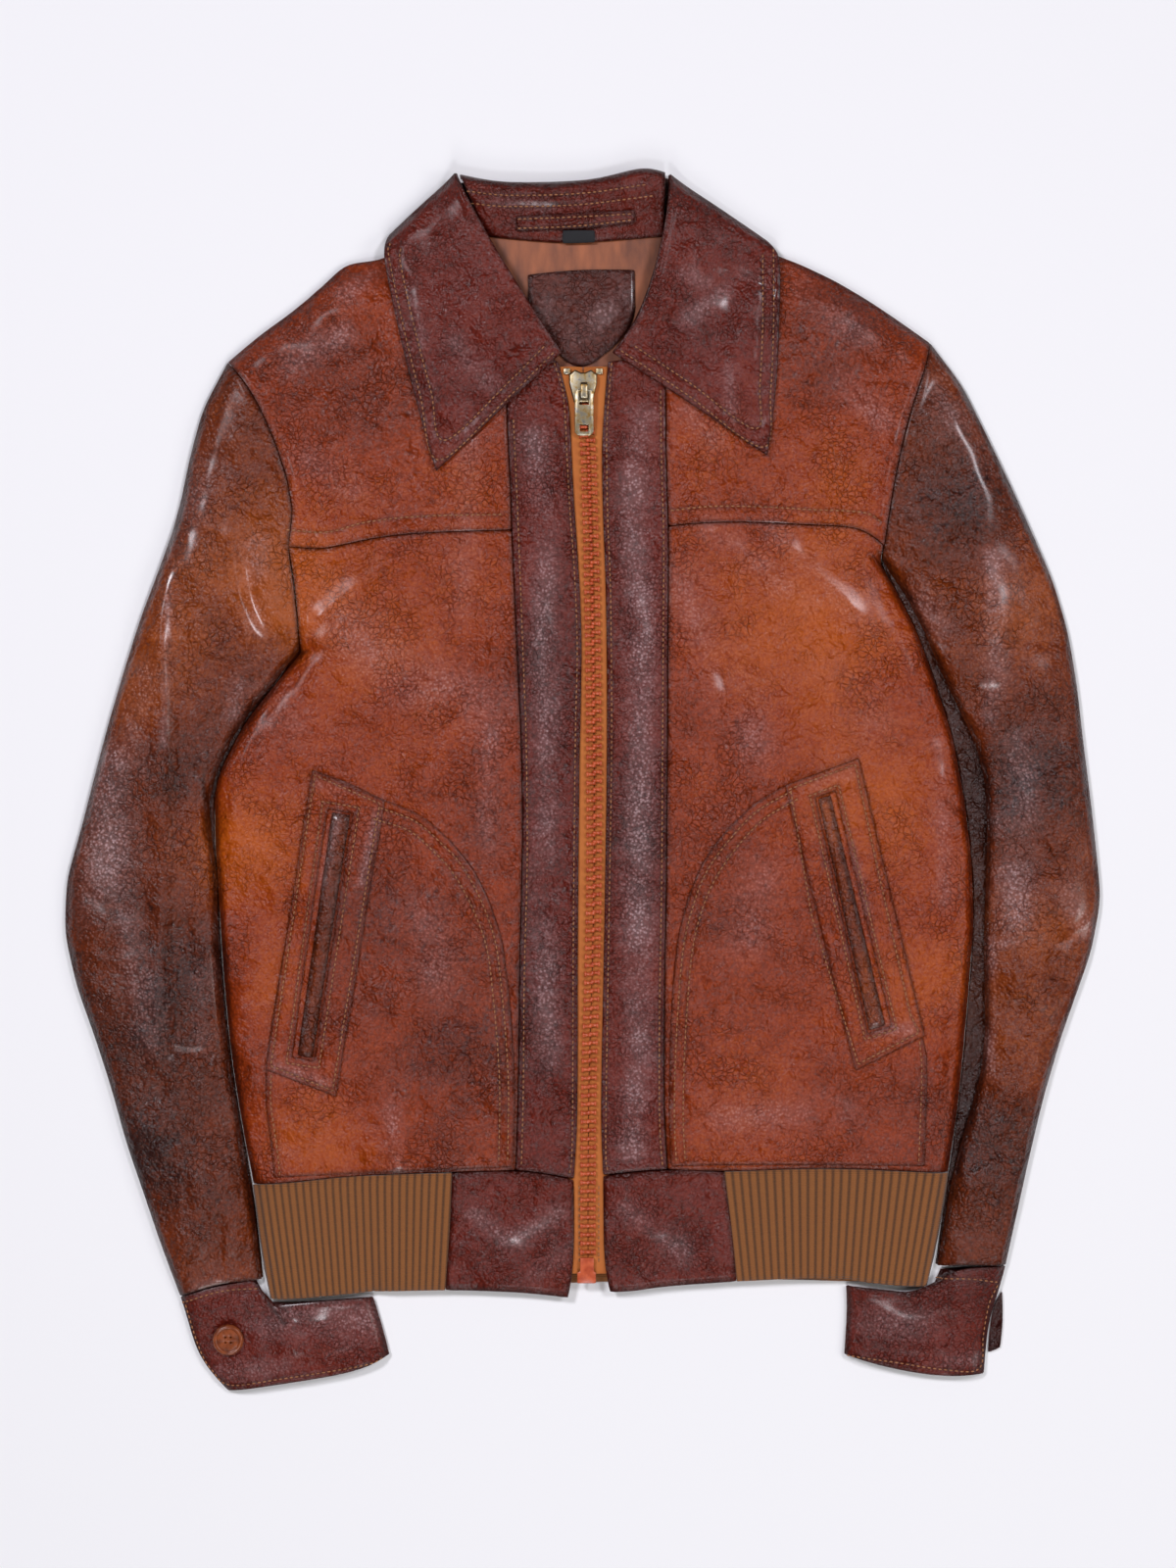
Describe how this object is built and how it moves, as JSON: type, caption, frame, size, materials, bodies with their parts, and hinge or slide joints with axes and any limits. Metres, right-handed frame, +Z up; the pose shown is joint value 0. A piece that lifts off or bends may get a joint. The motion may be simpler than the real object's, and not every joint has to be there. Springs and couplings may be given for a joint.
{
  "type": "leather zip blouson",
  "caption": "Worn leather blouson laid flat and zipped up, with a wide pointed collar, curved pocket panels with slanted welts, knitted hem and buttoned cuffs.",
  "frame": {"origin": "centre of the laid-out jacket in plan, on the surface it lies on", "axes": "+X to the viewer's right, +Y towards the collar, +Z up out of the front"},
  "size_m": [0.6358, 0.7499, 0.0196],
  "materials": {
    "body_leather": "worn cognac cowhide, satin",
    "dark_leather": "oxblood cowhide, polished by wear",
    "sleeve_leather": "brown cowhide with worn sheen",
    "knit": "2 by 2 rib knit",
    "lining": "satin lining",
    "tape": "woven zip tape",
    "teeth": "moulded zip teeth",
    "brass": "worn nickel over brass",
    "tag": "woven black tag, bare",
    "button": "brown four-hole button"
  },
  "bodies": {
    "jacket": {"yoke_left": "body_leather", "yoke_right": "body_leather", "front_left": "body_leather", "front_right": "body_leather", "placket_left": "dark_leather", "placket_right": "dark_leather", "pocket_panel_left": "body_leather", "pocket_panel_right": "body_leather", "pocket_frame_left": "body_leather", "pocket_lip_left": "dark_leather", "pocket_frame_right": "body_leather", "pocket_lip_right": "dark_leather", "hem_knit_left": "knit", "hem_knit_right": "knit", "hem_tab_left": "dark_leather", "hem_tab_right": "dark_leather", "back_panel": "body_leather", "back_knit": "knit", "sleeve_under_left": "sleeve_leather", "sleeve_under_right": "sleeve_leather", "cuff_under_left": "dark_leather", "cuff_under_right": "dark_leather", "collar_fall": "dark_leather", "sleeve_top_left": "sleeve_leather", "sleeve_top_right": "sleeve_leather", "cuff_top_left": "dark_leather", "cuff_top_right": "dark_leather", "collar_wing_left": "dark_leather", "collar_stand_left": "dark_leather", "collar_wing_right": "dark_leather", "collar_stand_right": "dark_leather", "collar_stand_back": "dark_leather", "back_lining": "lining", "neck_patch": "dark_leather", "hanger_loop": "dark_leather", "size_tag": "tag", "zip_tape_left": "tape", "zip_tape_right": "tape", "zip_chain": "teeth", "zip_slider": "brass", "zip_bail": "brass", "zip_stop_left": "brass", "zip_stop_right": "brass", "zip_box": "teeth", "cuff_button": "button", "cuff_flap_right": "dark_leather"},
    "pull": {"zip_pull": "brass"}
  },
  "joints": [
    {"name": "pull_swing", "type": "hinge", "parent": "jacket", "child": "pull", "pos_m": [0.00084, 0.23692, 0.0157], "axis": [-1, 0, 0], "range_deg": [0, 150]}
  ]
}
